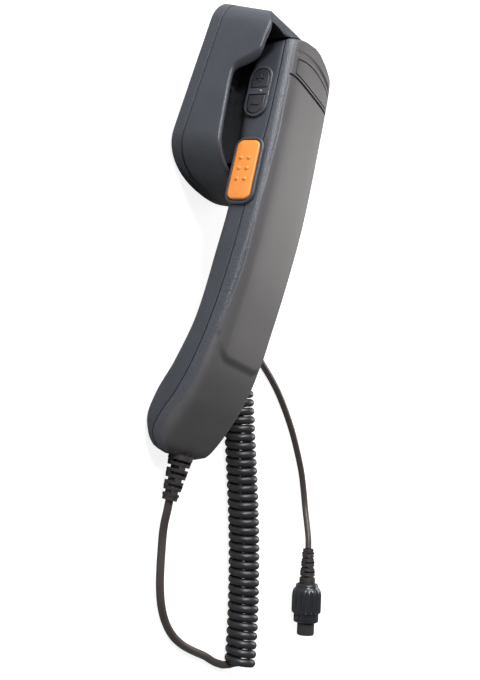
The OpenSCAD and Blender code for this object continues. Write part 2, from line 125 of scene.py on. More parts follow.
def resample(line, share):
    # point at a share of a polyline's length
    steps = [hypot(*[b - a for a, b in zip(p, q)]) for p, q in zip(line, line[1:])]
    want = share * sum(steps)
    for p, q, step in zip(line, line[1:], steps):
        if want <= step or q is line[-1]:
            t = min(want / step, 1.0) if step else 0.0
            return tuple(a + (b - a) * t for a, b in zip(p, q))
        want -= step
    return line[-1]


def drawn(bm, move):
    # give an open sheet walls and a floor: move(vertex) places the copied vertices
    copied = bmesh.ops.extrude_face_region(bm, geom=bm.faces)
    for item in copied["geom"]:
        if isinstance(item, bmesh.types.BMVert):
            move(item)
    bmesh.ops.recalc_face_normals(bm, faces=bm.faces)
    return bm


def turned(profile, steps=64):
    # solid of revolution round Z from (radius, height) pairs
    bm = bmesh.new()
    verts = [bm.verts.new((r * mm, 0, z * mm)) for r, z in profile]
    edges = [bm.edges.new(pair) for pair in zip(verts, verts[1:])]
    bmesh.ops.spin(bm, geom=verts + edges, axis=(0, 0, 1), angle=2 * pi, steps=steps, use_merge=True)
    bmesh.ops.remove_doubles(bm, verts=bm.verts, dist=1e-7)
    bmesh.ops.recalc_face_normals(bm, faces=bm.faces)
    return bm


def bevelEdges(bm, edges, offset, segments):
    size = offset * mm
    bmesh.ops.bevel(bm, geom=edges, offset=size, affect="EDGES", segments=segments, profile=0.5, material=-1)


def box(low, high, bevel=0.0, segments=3):
    bm = bmesh.new()
    bmesh.ops.create_cube(bm, size=1)
    middle = (Vector(low) + Vector(high)) / 2
    size = Vector(high) - Vector(low)
    bmesh.ops.scale(bm, vec=size * mm, verts=bm.verts)
    bmesh.ops.translate(bm, vec=middle * mm, verts=bm.verts)
    if bevel:
        bevelEdges(bm, bm.edges, bevel, segments)
    return bm


def drill(radius, length, matrix):
    # a round bar that cuts a hole
    bm = bmesh.new()
    size = radius * mm
    bmesh.ops.create_cone(bm, cap_ends=True, segments=20, radius1=size, radius2=size, depth=length * mm)
    return moved(bm, matrix)


def moved(bm, matrix):
    bmesh.ops.transform(bm, matrix=matrix, verts=bm.verts)
    return bm


def joined(*parts):
    whole = bmesh.new()
    for part in parts:
        mesh = bpy.data.meshes.new("part")
        part.to_mesh(mesh)
        whole.from_mesh(mesh)
        bpy.data.meshes.remove(mesh)
        part.free()
    return whole


def inFrame(place, turns):
    # matrix that sets a piece down at place (millimetres) after turning it by (axis, degrees) pairs
    matrix = Matrix.Translation(Vector(place) * mm)
    for axis, angle in turns:
        matrix = matrix @ Matrix.Rotation(radians(angle), 4, axis)
    return matrix


def plainObject(name, bm):
    mesh = bpy.data.meshes.new(name)
    bm.to_mesh(mesh)
    bm.free()
    piece = bpy.data.objects.new(name, mesh)
    bpy.context.scene.collection.objects.link(piece)
    return piece


def settle(piece):
    # apply every modifier, so that the final mesh is what is kept
    ready = bpy.context.evaluated_depsgraph_get()
    ready.update()
    mesh = bpy.data.meshes.new_from_object(piece.evaluated_get(ready))
    piece.modifiers.clear()
    old = piece.data
    piece.data = mesh
    mesh.name = piece.name
    bpy.data.meshes.remove(old)


def thicken(piece, wall):
    modifier = piece.modifiers.new("wall", "SOLIDIFY")
    modifier.thickness = wall * mm
    modifier.offset = -1
    settle(piece)


def cutOut(piece, *cutters):
    for cutter in cutters:
        tool = plainObject("cutter", cutter)
        modifier = piece.modifiers.new("cut", "BOOLEAN")
        modifier.operation = "DIFFERENCE"
        modifier.solver = "MANIFOLD"
        modifier.object = tool
        settle(piece)
        bpy.data.objects.remove(tool)


def finishPiece(piece, body, material, replaced=(), sharp=40):
    piece.data.materials.clear()
    piece.data.materials.append(material)
    for polygon in piece.data.polygons:
        polygon.use_smooth = True
        polygon.material_index = 0
    piece.data.set_sharp_from_angle(angle=radians(sharp))
    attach(piece, body)
    for name in replaced:
        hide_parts(name)
    return piece


# Materials

class Socket:
    # a shader socket that takes part in sums
    def __init__(self, tree, link):
        self.tree = tree
        self.link = link

    def math(self, operation, first, second=None):
        values = [first] if second is None else [first, second]
        return self.tree.node("ShaderNodeMath", {"operation": operation}, dict(enumerate(values)))

    def __add__(self, other):
        return self.math("ADD", self, other)

    def __radd__(self, other):
        return self.math("ADD", other, self)

    def __sub__(self, other):
        return self.math("SUBTRACT", self, other)

    def __rsub__(self, other):
        return self.math("SUBTRACT", other, self)

    def __mul__(self, other):
        return self.math("MULTIPLY", self, other)

    def __rmul__(self, other):
        return self.math("MULTIPLY", other, self)


class Finish:
    # one material's node tree
    def __init__(self, name, **constants):
        self.material = bpy.data.materials.new(name)
        self.material.use_nodes = True
        self.nodes = self.material.node_tree.nodes
        self.links = self.material.node_tree.links
        self.nodes.clear()
        self.output = self.nodes.new("ShaderNodeOutputMaterial")
        self.surface = self.nodes.new("ShaderNodeBsdfPrincipled")
        self.links.new(self.surface.outputs[0], self.output.inputs["Surface"])
        for key, value in constants.items():
            self.surface.inputs[key.replace("_", " ")].default_value = value

    def node(self, kind, settings=None, inputs=None, output=0):
        made = self.nodes.new(kind)
        for key, value in (settings or {}).items():
            if key == "stops":
                ramp = made.color_ramp
                for (at, colour), stop in zip(value, list(ramp.elements) + [None] * len(value)):
                    stop = stop or ramp.elements.new(at)
                    stop.position = at
                    stop.color = (*colour, 1)
            else:
                setattr(made, key, value)
        for key, value in (inputs or {}).items():
            if isinstance(value, Socket):
                self.links.new(value.link, made.inputs[key])
            else:
                made.inputs[key].default_value = value
        return Socket(self, made.outputs[output])

    def set(self, name, value):
        self.links.new(value.link, self.surface.inputs[name])

    def place(self):
        return self.node("ShaderNodeTexCoord", output="Object")

    def noise(self, scale, detail=2.0, roughness=0.5, where=None):
        inputs = {"Vector": where or self.place(), "Scale": scale, "Detail": detail, "Roughness": roughness}
        return self.node("ShaderNodeTexNoise", None, inputs)

    def cells(self, scale, where=None):
        return self.node("ShaderNodeTexVoronoi", None, {"Vector": where or self.place(), "Scale": scale})

    def attribute(self, name):
        return self.node("ShaderNodeAttribute", {"attribute_name": name}, output="Fac")

    def mix(self, share, first, second):
        settings = {"data_type": "RGBA"}
        inputs = {0: share, 6: first if isinstance(first, Socket) else (*first, 1),
                  7: second if isinstance(second, Socket) else (*second, 1)}
        return self.node("ShaderNodeMix", settings, inputs, output=2)

    def bump(self, height, strength, distance):
        inputs = {"Height": height, "Strength": strength, "Distance": distance}
        self.set("Normal", self.node("ShaderNodeBump", None, inputs))


def shade(colour, factor):
    return tuple(c * factor for c in colour)


def clamp(finish, value):
    return finish.node("ShaderNodeClamp", None, {"Value": value})


def plastic(name, colour, rough, grain=1.0, grainScale=2600, mottle=0.12, coat=0.0, hollowShade=False):
    # moulded plastic or rubber: fine erosion grain and faint mottling, and painted shade that turns it black
    # far down in the pocket between cup and handle
    finish = Finish(name, Specular_IOR_Level=0.5, Coat_Weight=coat, Coat_Roughness=0.3)
    fine = finish.cells(grainScale)
    soft = finish.noise(grainScale * 0.35, 3.0, 0.6)
    cloud = finish.noise(45, 4.0, 0.6)
    share = clamp(finish, (cloud - 0.3) * 2.5)
    base = finish.mix(share, shade(colour, 1 - mottle), shade(colour, 1 + mottle))
    # painted shade: the pocket between cup and handle, which the lamps leave dark, is mixed towards black
    if hollowShade:
        base = finish.mix(finish.attribute("deep") * 0.93, base, (0.0, 0.0, 0.0))
    finish.set("Base Color", base)
    finish.set("Roughness", (cloud - 0.5) * 0.1 + (soft - 0.5) * 0.16 + rough)
    finish.bump(fine * 0.6 + soft * 0.8, 0.35 * grain, 0.00025)
    return finish.material


def caseFinish():
    # back shell: smooth satin panels, spark-eroded band along the parting line
    smooth = (0.088, 0.084, 0.086)
    band = (0.066, 0.069, 0.083)
    finish = Finish("backCase", Specular_IOR_Level=0.5)
    grainy = finish.attribute("grain")
    cells = finish.cells(1500)
    speckle = finish.noise(1500, 4.0, 0.65)
    cloud = finish.noise(38, 3.0, 0.55)
    tone = clamp(finish, (cloud - 0.3) * 2.5)
    plain = finish.mix(tone, shade(smooth, 0.93), shade(smooth, 1.07))
    sparkle = clamp(finish, (speckle - 0.35) * 3.0)
    rough = finish.mix(sparkle, shade(band, 0.8), shade(band, 1.3))
    finish.set("Base Color", finish.mix(grainy, plain, rough))
    finish.set("Roughness", 0.5 - grainy * 0.13 + (speckle - 0.5) * 0.18 + (cloud - 0.5) * 0.08)
    finish.bump((cells * 0.8 + speckle * 1.0) * (grainy * 0.92 + 0.08), 0.4, 0.0003)
    return finish.material


def metal(name, colour, rough):
    finish = Finish(name, Metallic=1.0)
    streak = finish.noise(600, 3.0, 0.6)
    finish.set("Base Color", finish.mix(streak, shade(colour, 0.85), shade(colour, 1.1)))
    finish.set("Roughness", (streak - 0.5) * 0.2 + rough)
    finish.bump(streak, 0.1, 0.0001)
    return finish.material


def keyFinish():
    # translucent-looking orange moulding, a little paler where the cloud is thick
    orange = (1.0, 0.3, 0.045)
    finish = Finish("orangeKey", Specular_IOR_Level=0.45, Coat_Weight=0.25, Coat_Roughness=0.35)
    cloud = finish.noise(120, 3.0, 0.5)
    fine = finish.cells(2200)
    finish.set("Base Color", finish.mix(cloud, shade(orange, 0.94), (1.0, 0.35, 0.07)))
    finish.set("Roughness", (cloud - 0.5) * 0.12 + 0.42)
    finish.bump(fine, 0.12, 0.0002)
    return finish.material


def cordFinish(name, coiled, straight, rough):
    # extruded jacket: darker where it is coiled, browner where it lies straight, with small scuffs
    finish = Finish(name, Specular_IOR_Level=0.5, Coat_Weight=0.12, Coat_Roughness=0.35)
    across = finish.node("ShaderNodeSeparateXYZ", None, {"Vector": finish.place()}, 0)
    height = finish.node("ShaderNodeSeparateXYZ", None, {"Vector": finish.place()}, 2)
    onCoil = clamp(finish, (height - 0.0036) * 1500.0) * clamp(finish, (0.1 - across) * 200.0)
    onCoil = onCoil * clamp(finish, (across - 0.02) * 200.0)
    cloud = finish.noise(70, 4.0, 0.6)
    fine = finish.noise(1400, 2.0, 0.5)
    scuff = clamp(finish, (finish.noise(420, 4.0, 0.7) - 0.6) * 6.0)
    plain = finish.mix(cloud, shade(straight, 0.85), shade(straight, 1.15))
    curled = finish.mix(cloud, shade(coiled, 0.85), shade(coiled, 1.15))
    base = finish.mix(onCoil, plain, curled)
    finish.set("Base Color", finish.mix(scuff * 0.2, base, shade(straight, 1.6)))
    finish.set("Roughness", (cloud - 0.5) * 0.14 + scuff * 0.1 + rough)
    finish.bump(fine, 0.15, 0.0002)
    return finish.material


def clothFinish():
    finish = Finish("meshCloth", Roughness=0.9)
    weave = finish.node("ShaderNodeTexChecker", None, {"Vector": finish.place(), "Scale": 2500})
    finish.set("Base Color", finish.mix(weave, (0.008, 0.008, 0.008), (0.02, 0.02, 0.02)))
    finish.bump(weave, 0.5, 0.0002)
    return finish.material


look = {
    "textured_case": plastic("texturedCase", (0.052, 0.056, 0.068), 0.37, grain=1.0, hollowShade=True),
    "smooth_case": caseFinish(),
    "badge": plastic("badge", (0.076, 0.073, 0.075), 0.5, grain=0.3, mottle=0.06),
    "cloth_mesh": clothFinish(),
    "zinc": metal("zinc", (0.55, 0.56, 0.58), 0.4),
    "dark_metal": metal("darkMetal", (0.12, 0.12, 0.13), 0.5),
    "cone_paper": plastic("conePaper", (0.06, 0.05, 0.045), 0.7),
    "soft_rubber": plastic("softRubber", (0.034, 0.029, 0.028), 0.5, grain=0.6),
    "inner_plastic": plastic("innerPlastic", (0.025, 0.026, 0.031), 0.45),
    "circuit_board": plastic("circuitBoard", (0.03, 0.15, 0.06), 0.35, grain=0.2, coat=0.4),
    "screw_steel": metal("screwSteel", (0.4, 0.4, 0.41), 0.35),
    "orange_key": keyFinish(),
    "switch_body": plastic("switchBody", (0.5, 0.5, 0.5), 0.4, grain=0.2),
    "key_rubber": plastic("keyRubber", (0.03, 0.031, 0.037), 0.42, grain=0.5),
    "cord_jacket": cordFinish("cordJacket", (0.07, 0.055, 0.05), (0.07, 0.055, 0.05), 0.42),
    "coil_jacket": cordFinish("coilJacket", (0.022, 0.022, 0.025), (0.066, 0.051, 0.046), 0.38),
    "wire_red": plastic("wireRed", (0.4, 0.02, 0.015), 0.4, grain=0.1),
    "plug_plastic": plastic("plugPlastic", (0.05, 0.047, 0.047), 0.5, grain=0.7),
    "plug_sleeve": plastic("plugSleeve", (0.02, 0.021, 0.027), 0.27, grain=0.06, mottle=0.05, coat=0.3),
    "gold_pins": metal("goldPins", (0.75, 0.52, 0.2), 0.25),
}
print("materials made:", len(look))


# Cord

cord = {
    "diameter": 3.6,
    "helixRadius": 5.75,
    "turns": 31,
    "pointsPerTurn": 22,
    "swell": 0.13,
    "lead": [
        (0, -123.2, 5.8), (0.8, -128, 4.9), (2.4, -133, 3.3), (4, -138, 2.2), (5.2, -144, 1.8),
        (6.2, -152, 1.8), (7.8, -160, 1.8), (10.6, -167.5, 1.8), (15.5, -174.5, 1.8),
        (23, -180.5, 1.8), (33, -185, 1.8), (44, -188, 1.8), (55, -190.5, 1.8),
        (65, -193.5, 1.8), (74, -195.2, 1.8),
    ],
    "axis": [
        (80.9, -195.3, 7.8), (79, -175, 7.8), (75.5, -155, 7.8), (70.3, -133, 7.8),
        (63, -110, 7.8), (54.5, -86, 7.8), (47.2, -65, 7.8),
    ],
    "tail": [
        (42.0, -65.2, 3.4), (42.5, -62.2, 2.1), (43.3, -58, 1.8), (44.1, -53, 1.8), (44.6, -47.5, 1.8),
        (47.5, -40.5, 1.8),
        (54, -36, 1.8), (62, -35.2, 1.8), (71, -38, 1.8), (82.4, -42.7, 1.8),
        (94, -47.6, 1.8), (105, -53.4, 1.8), (116.8, -61.5, 1.8), (128, -70.8, 1.8),
        (137.5, -80.8, 1.8), (145.8, -91, 1.8), (151.5, -102, 2), (153.4, -111, 3),
        (152.6, -120, 5.4), (151.4, -128, 7.6), (151, -134, 8.4),
    ],
}


def throughPoints(points, t):
    # point on a smooth curve through all the points, t counted in points
    i = min(int(t), len(points) - 2)
    s = t - i
    a, b, c, d = (Vector(points[min(max(i + k, 0), len(points) - 1)]) for k in (-1, 0, 1, 2))
    bend = 2 * a - 5 * b + 4 * c - d
    return 0.5 * (2 * b + (c - a) * s + bend * s * s + (3 * b - a - 3 * c + d) * s ** 3)


def helixPoints():
    axis = cord["axis"]
    count = round((cord["turns"] + 0.25) * cord["pointsPerTurn"])
    line = [tuple(throughPoints(axis, (len(axis) - 1) * k / 30)) for k in range(31)]
    points = []
    for k in range(count + 1):
        share = k / count
        here = Vector(resample(line, share))
        ahead = throughPoints(axis, min(share * (len(axis) - 1) + 0.05, len(axis) - 1))
        behind = throughPoints(axis, max(share * (len(axis) - 1) - 0.05, 0))
        along = (ahead - behind).normalized()
        across = along.cross(Vector((0, 0, 1))).normalized()
        angle = -pi / 2 + 2 * pi * (cord["turns"] + 0.75) * share
        points.append(here + cord["helixRadius"] * (cos(angle) * across + sin(angle) * Vector((0, 0, 1))))
    return points


def addCord():
    steps = 4
    lead = [throughPoints(cord["lead"], k / steps) for k in range(steps * (len(cord["lead"]) - 1) + 1)]
    tail = [throughPoints(cord["tail"], k / steps) for k in range(steps * (len(cord["tail"]) - 1) + 1)]
    route = [p * mm for p in lead + helixPoints() + tail]
    curve = bpy.data.curves.new("cord", "CURVE")
    curve.dimensions = "3D"
    curve.bevel_depth = cord["diameter"] / 2 * mm
    curve.bevel_resolution = 4
    curve.use_fill_caps = True
    spline = curve.splines.new("POLY")
    spline.points.add(len(route) - 1)
    first, last = len(lead), len(route) - len(tail)
    for k, (point, place) in enumerate(zip(spline.points, route)):
        point.co = (*place, 1)
        point.radius = 1 + cord["swell"] * ease(first - 4, first + 20, k) * ease(last + 4, last - 20, k)
    spline.use_smooth = True
    piece = bpy.data.objects.new("curly_cord", curve)
    bpy.context.scene.collection.objects.link(piece)
    curve.materials.append(look["coil_jacket"])
    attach(piece, "handset")
    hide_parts("lead", "coil", "tail")
    length = sum((b - a).length for a, b in zip(route, route[1:]))
    print("cord length", round(length, 3))
    return piece, route[0], length


cordPiece, cordExit, cordLength = addCord()


# Handle form

handle = {
    "stations": [  # along the handle: y, lowest z, parting line z, highest z, half width
        (-104, 6, 8, 10.4, 11), (-102, 3.7, 7, 13, 17.5), (-97, 1.3, 5.8, 16.6, 20.6),
        (-90, 0.05, 8.8, 21, 22.2),
        (-80, 2.9, 15.5, 26.6, 22.8), (-66, 10.5, 22.4, 32, 23), (-45, 18.8, 29, 36.9, 22.7),
        (-20, 23.6, 34.6, 42.6, 22.5), (10, 28.2, 39.6, 48, 22.5), (45, 29, 45.6, 52, 22.5),
        (74, 31.4, 48.5, 54.6, 22.5), (81, 32.2, 49, 55, 21.8), (84.5, 33, 49.4, 55.1, 15.5),
        (86.4, 33.5, 49.6, 55.1, 6),
    ],
    "squareness": 5.0,
    "band": [(-104, 2.0), (-99, 4.2), (-92, 4.4), (-80, 6.0), (-62, 5.0), (-40, 5.8), (-20, 6.3),
             (10, 6.2), (32, 5.3), (52, 4.4), (86.4, 4.2)],
    "seam": 0.14,
    "wall": 2.0,
    "panelRaise": 0.35,
    "panelStep": 0.75,
    "panelFoot": -63.6,
    "panelCorner": 9.5,
}
lowest, parting, highest, halfWidth = (
    track([(station[0], station[k]) for station in handle["stations"]]) for k in (1, 2, 3, 4)
)
bandHeight = track(handle["band"])


def sectionPoint(y, theta):
    # point of the superellipse at direction theta, and its outward direction
    n = handle["squareness"]
    half = halfWidth(y)
    middle = (highest(y) + lowest(y)) / 2
    tall = (highest(y) - lowest(y)) / 2
    c, s = cos(theta), sin(theta)
    reach = (abs(c) ** n + abs(s) ** n) ** (-1 / n)
    x, z = c * reach, s * reach
    out = Vector((power(x, n - 1) / half, 0, power(z, n - 1) / tall))
    return Vector((x * half, y, middle + z * tall)), out.normalized()


def thetaAt(y, height):
    # direction, on the +X side, at which the section is at this height
    low, high = -pi / 2, pi / 2
    for _ in range(40):
        middle = (low + high) / 2
        if sectionPoint(y, middle)[0].z < height:
            low = middle
        else:
            high = middle
    return (low + high) / 2


def sectionRow(y, stretches):
    # points evenly along each stretch (theta from, theta to, count) of the section at y
    row = []
    for start, end, count in stretches:
        fine = [sectionPoint(y, start + (end - start) * k / 60)[0] for k in range(61)]
        lengths = [0.0]
        for a, b in zip(fine, fine[1:]):
            lengths.append(lengths[-1] + (b - a).length)
        for k in range(count + (end is stretches[-1][1])):
            want = lengths[-1] * k / count
            i = min(max(bisect_right(lengths, want) - 1, 0), 59)
            t = (want - lengths[i]) / max(lengths[i + 1] - lengths[i], 1e-9)
            row.append(start + (end - start) * (i + t) / 60)
    return row


badge = {"foot": 66.3, "half": 17.0, "endHead": 72.9, "midHead": 76.0, "groove": 64.4,
         "grooveDepth": 1.0, "rimDepth": 0.75, "archDepth": 0.8}


def badgeHead(x):
    return badge["midHead"] - (badge["midHead"] - badge["endHead"]) * (x / badge["half"]) ** 2


def panelReach(x, y):
    # how far a point lies inside the foot of the raised panel
    corner = handle["panelCorner"]
    beyond = max(abs(x) - (20.5 - corner), 0.0)
    arc = corner - (max(corner * corner - beyond * beyond, 0.0)) ** 0.5
    return y - (handle["panelFoot"] + arc)


def backRelief(x, y, side):
    # height of the relief above the plain form; side is 0 on the panel, 1 at the parting line
    rise = 0.0
    inside = 1.0 if side <= 0.0 else 0.0
    rise += inside * handle["panelRaise"] * ease(-1.0, 1.2, panelReach(x, y))
    step = ease(-1.6, 1.2, panelReach(x, y)) * ease(21.5, 15.0, abs(x)) * ease(10, -45, y)
    rise += handle["panelStep"] * step
    if side <= 0.0 and y > 55:
        rise -= badge["grooveDepth"] * ease(0.62, 0.15, abs(y - badge["groove"])) * ease(20.3, 19.8, abs(x))
        edge = min(y - badge["foot"] + 0.35, badgeHead(x) - y + 0.35, badge["half"] + 0.35 - abs(x))
        rise -= badge["rimDepth"] * ease(-0.1, 0.25, edge)
        arch = y - (79.3 - 3.2 * (x / 17.0) ** 2)
        rise -= badge["archDepth"] * ease(1.6, 0.2, abs(arch)) * ease(19.5, 17.0, abs(x))
    return rise


def rowPlaces(low, high, step, fineFrom=None, fineTo=None, fineStep=None):
    places = [low]
    while places[-1] < high - 1e-6:
        y = places[-1]
        fine = fineFrom is not None and fineFrom <= y < fineTo
        places.append(min(y + (fineStep if fine else step), high))
    return places


def capRows(places, count=4):
    # the form's own ends, then rows that close towards the middle of each end
    closing = [1 - k / count for k in range(count, 0, -1)]
    rows = [(places[0], share) for share in closing] + [(y, 1.0) for y in places]
    return rows + [(places[-1], share) for share in reversed(closing)]


def closeEnd(point, y, share):
    middle = Vector((0, y, parting(y)))
    return middle + (point - middle) * max(share, 0.002)


def buildBack():
    bandCols, topCols = 12, 84
    rows = capRows(rowPlaces(-104, 86.4, 0.9, 62, 82, 0.36))
    sections = {}
    for y in {r[0] for r in rows}:
        start = thetaAt(y, parting(y) + handle["seam"])
        ridge = thetaAt(y, min(parting(y) + bandHeight(y), highest(y) - 0.6))
        far = (pi - ridge, pi - start, bandCols)
        sections[y] = sectionRow(y, [(start, ridge, bandCols), (ridge, pi - ridge, topCols), far])
    cols = 2 * bandCols + topCols

    def place(u, v):
        i = round(u * cols)
        y, share = rows[round(v * (len(rows) - 1))]
        point, out = sectionPoint(y, sections[y][i])
        edge = min(i, cols - i)
        side = 1.0 if edge < bandCols else (0.5 if edge == bandCols else 0.0)
        rise = backRelief(point.x, y, side)
        if edge == 0:
            rise -= 0.28
        return closeEnd(point + out * rise, y, share)

    bm = wrapGrid(cols, len(rows) - 1, place)
    grain = bm.verts.layers.float.new("grain")
    for vert in bm.verts:
        y = vert.co.y / mm
        above = vert.co.z / mm - parting(y)
        vert[grain] = ease(bandHeight(y) + 0.5, bandHeight(y) - 0.3, above)
    faceOut(bm)
    return bm


def faceOut(bm):
    # point the faces of an open half shell away from the handle's middle
    centre = Vector((0, 0, 30)) * mm
    bm.normal_update()
    leaning = sum(f.normal.dot(f.calc_center_median() - centre) * f.calc_area() for f in bm.faces)
    if leaning < 0:
        bmesh.ops.reverse_faces(bm, faces=bm.faces)


def buildFrontHandle():
    cols = 96
    rows = capRows(rowPlaces(-104, 86.4, 1.1))
    sections = {}
    for y in {r[0] for r in rows}:
        start = thetaAt(y, parting(y) - handle["seam"])
        sections[y] = sectionRow(y, [(start, -pi - start, cols)])

    def place(u, v):
        i = round(u * cols)
        y, share = rows[round(v * (len(rows) - 1))]
        point, out = sectionPoint(y, sections[y][i])
        rise = -0.28 if i in (0, cols) else 0.0
        return closeEnd(point + out * rise, y, share)

    bm = wrapGrid(cols, len(rows) - 1, place)
    faceOut(bm)
    return bm


# Ear cup form

cup = {
    "half": 33.9,
    "length": 85.7,
    "tilt": 12.6,
    "place": (0, 20.8, -0.26),
    "bottom": 18.1,
    "corner": 14.0,
    "lean": 7.0,
    "exponent": 2.3,
    "seam": 6.2,
    "lip": 1.6,
    "rim": [(16, 28.2), (29.1, 28.4), (49.6, 29.4), (61.5, 30.4), (64.2, 31.2), (66.2, 33.6), (68, 38.4),
            (69.6, 41.8), (71.8, 43.8), (77.5, 45.4), (84.6, 47.2), (88.5, 46.0), (91.5, 44.9), (97.4, 40.9),
            (106, 37.5)],
    "pocketFloor": [(20, 23.5), (60, 25.5), (88, 30)],
}
rimHeight = track(cup["rim"])
pocketFloor = track(cup["pocketFloor"])
cupTilt = radians(cup["tilt"])


def fromCup(x, v, w):
    # a point of the cup's own frame: v along the rim plane, w away from it
    place = cup["place"]
    return (x, place[1] + v * cos(cupTilt) - w * sin(cupTilt), place[2] + v * sin(cupTilt) + w * cos(cupTilt))


def cupOutline(inset, high, count=320):
    half, bottom, corner = cup["half"] - inset, cup["bottom"], cup["corner"]
    top = cup["length"] - high * tan(radians(cup["lean"]))
    line = []
    for k in range(61):
        t = -pi / 2 + pi * k / 60
        depth = (bottom - inset) * max(cos(t), 0.0) ** (2 / cup["exponent"])
        line.append((half * power(sin(t), 2 / cup["exponent"]), bottom - depth))
    for side, start in ((1, 0), (-1, pi / 2)):
        for k in range(25):
            t = start + pi / 2 * k / 24
            reach = corner - inset
            line.append((side * (cup["half"] - corner) + reach * cos(t), top - corner + reach * sin(t)))
    line.append(line[0])
    lengths = [0.0]
    for a, b in zip(line, line[1:]):
        lengths.append(lengths[-1] + hypot(b[0] - a[0], b[1] - a[1]))
    points = []
    for k in range(count + 1):
        want = lengths[-1] * k / count
        i = min(max(bisect_right(lengths, want) - 1, 0), len(line) - 2)
        t = (want - lengths[i]) / max(lengths[i + 1] - lengths[i], 1e-9)
        points.append(tuple(a + (b - a) * t for a, b in zip(line[i], line[i + 1])))
    return points


def rimTop(v, lower=0.0):
    # height in the cup's frame at which the wall reaches the rim line
    w = 25.0
    for _ in range(30):
        y = fromCup(0, v, w)[1]
        w = (rimHeight(y) - lower - cup["place"][2] - v * sin(cupTilt)) / cos(cupTilt)
    return w


def wallPoint(k, inset, w, outlines):
    # the outline leans with its height, so its point is found between two levels
    low, high = outlines[inset]
    s = w / 60
    return tuple(a + (b - a) * s for a, b in zip(low[k], high[k]))


def buildCupRing():
    count, lip = 320, cup["lip"]
    insets = [round(lip * (1 - cos(pi * k / 14)), 5) for k in range(15)]
    outlines = {inset: (cupOutline(inset, 0, count), cupOutline(inset, 60, count)) for inset in insets}
    tops = [rimTop(wallPoint(k, 0.0, 30, outlines)[1]) for k in range(count + 1)]
    outerRows, innerRows = 16, 6

    def place(u, v):
        k = round(u * count)
        row = round(v * (outerRows + 14 + innerRows))
        top = tops[k]
        if row <= outerRows:
            low = cup["seam"] + 0.15
            inset, w = 0.0, low + (top - lip - low) * row / outerRows
            if row == 0:
                inset = insets[3]
        elif row <= outerRows + 14:
            turn = row - outerRows
            inset, w = insets[turn], top - lip + lip * sin(pi * turn / 14)
        else:
            inset = insets[14]
            share = (row - outerRows - 14) / innerRows
            w = (top - lip) * (1 - share) + 8.0 * share
        x, along = wallPoint(k, inset, w, outlines)
        return fromCup(x, along, w)

    bm = wrapGrid(count, outerRows + 14 + innerRows, place)
    bmesh.ops.recalc_face_normals(bm, faces=bm.faces)
    return bm


def buildShoulder():
    # facet between the end of the back shell and the end of the cup, with the pocket's end wall below it
    cols, rows = 72, 16
    high = 32
    line = cupOutline(1.1, high, 640)
    arch = []
    for x, along in line:
        y = fromCup(0, along, high)[1]
        if y > 84.0 and along > 40:
            arch.append((x, along))
    arch.sort(key=lambda p: -atan2(p[1] - 60, p[0]))
    outer = [resample(arch, k / cols) for k in range(cols + 1)]

    def place(u, v):
        x, along = outer[round(u * cols)]
        w = rimTop(along, 0.15)
        end = Vector(fromCup(x, along, w))
        side = end.x / 31.0
        start = Vector((22.2 * side, 85.6 - 3.6 * abs(side) ** 3, 53.2 - 3.4 * abs(side) ** 5))
        return start.lerp(end, v) + Vector((0, 0, 0.5 * sin(pi * v)))

    def toFloor(vert):
        vert.co.z = 24 * mm

    return drawn(wrapGrid(cols, rows, place), toFloor)


def buildPocketFloor():
    def place(u, v):
        y = 22 + v * 66
        along = (y - cup["place"][1] + 25 * sin(cupTilt)) / cos(cupTilt)
        reach = 30.9
        if along < cup["bottom"]:
            reach = 31.5 * max(1 - ((cup["bottom"] - along) / cup["bottom"]) ** 2.3, 0.0) ** (1 / 2.3)
        return ((u - 0.5) * 2 * reach, y, pocketFloor(y))

    def down(vert):
        vert.co.z -= handle["wall"] * mm

    return drawn(wrapGrid(12, 40, place), down)


def buildCover():
    # cover of the ear cup: rounded rim, shallow dish towards the sound holes
    count = 320
    top = cup["seam"] - 0.15
    profile = [(0.35, top), (0.0, top - 0.25), (0.0, 2.4)]
    profile += [(1.5 * (1 - cos(pi / 2 * k / 8)), 1.5 * (1 - sin(pi / 2 * k / 8))) for k in range(9)]
    profile += [(2.4, 0.0), (8.0, 0.0)]
    inner = [(8.4, 1.9), (2.4, 2.0), (2.2, top)]
    profile = profile + inner + [profile[0]]
    outlines = {inset: (cupOutline(inset, 0, count), cupOutline(inset, 60, count)) for inset, _ in profile}

    def place(u, v):
        k = round(u * count)
        inset, w = profile[round(v * (len(profile) - 1))]
        x, along = wallPoint(k, inset, w, outlines)
        return fromCup(x, along, w)

    bm = wrapGrid(count, len(profile) - 1, place)
    bmesh.ops.recalc_face_normals(bm, faces=bm.faces)
    return bm


# Side controls

side = {
    "x": -22.5,
    "tilt": 6.0,
    "talkPlace": (18.5, 36.8),
    "talkSize": (27.5, 11.0),
    "keysPlace": (56.2, 39.1),
    "keyWide": 8.4,
    "keyLength": 9.1,
    "divider": 3.4,
    "bezelSize": (24.6, 11.4),
}


def onSide(place):
    # frame with x inwards, y along the handle, z up its side
    return inFrame((side["x"], place[0], place[1]), [("X", side["tilt"])])


def loopBar(length, width, radius, profile, points=12):
    # rounded bar along Y built from loops: each (x, inset) of the profile is one loop
    count = 4 * (points + 1)

    def place(u, v):
        x, inset = profile[round(v * (len(profile) - 1))]
        corner, step = divmod(round(u * count) % count, points + 1)
        turn = pi / 2 * (corner + step / points)
        round_ = max(radius - inset, 0.0)
        y = (1, -1, -1, 1)[corner] * (length / 2 - inset - round_) + round_ * cos(turn)
        z = (1, 1, -1, -1)[corner] * (width / 2 - inset - round_) + round_ * sin(turn)
        return (x, y, z)

    bm = wrapGrid(count, len(profile) - 1, place)
    bmesh.ops.recalc_face_normals(bm, faces=bm.faces)
    return bm


def roundBar(length, width, radius, start, end):
    middle = width / 2
    return loopBar(length, width, radius, [(end, middle), (end, 0.0), (start, 0.0), (start, middle)])


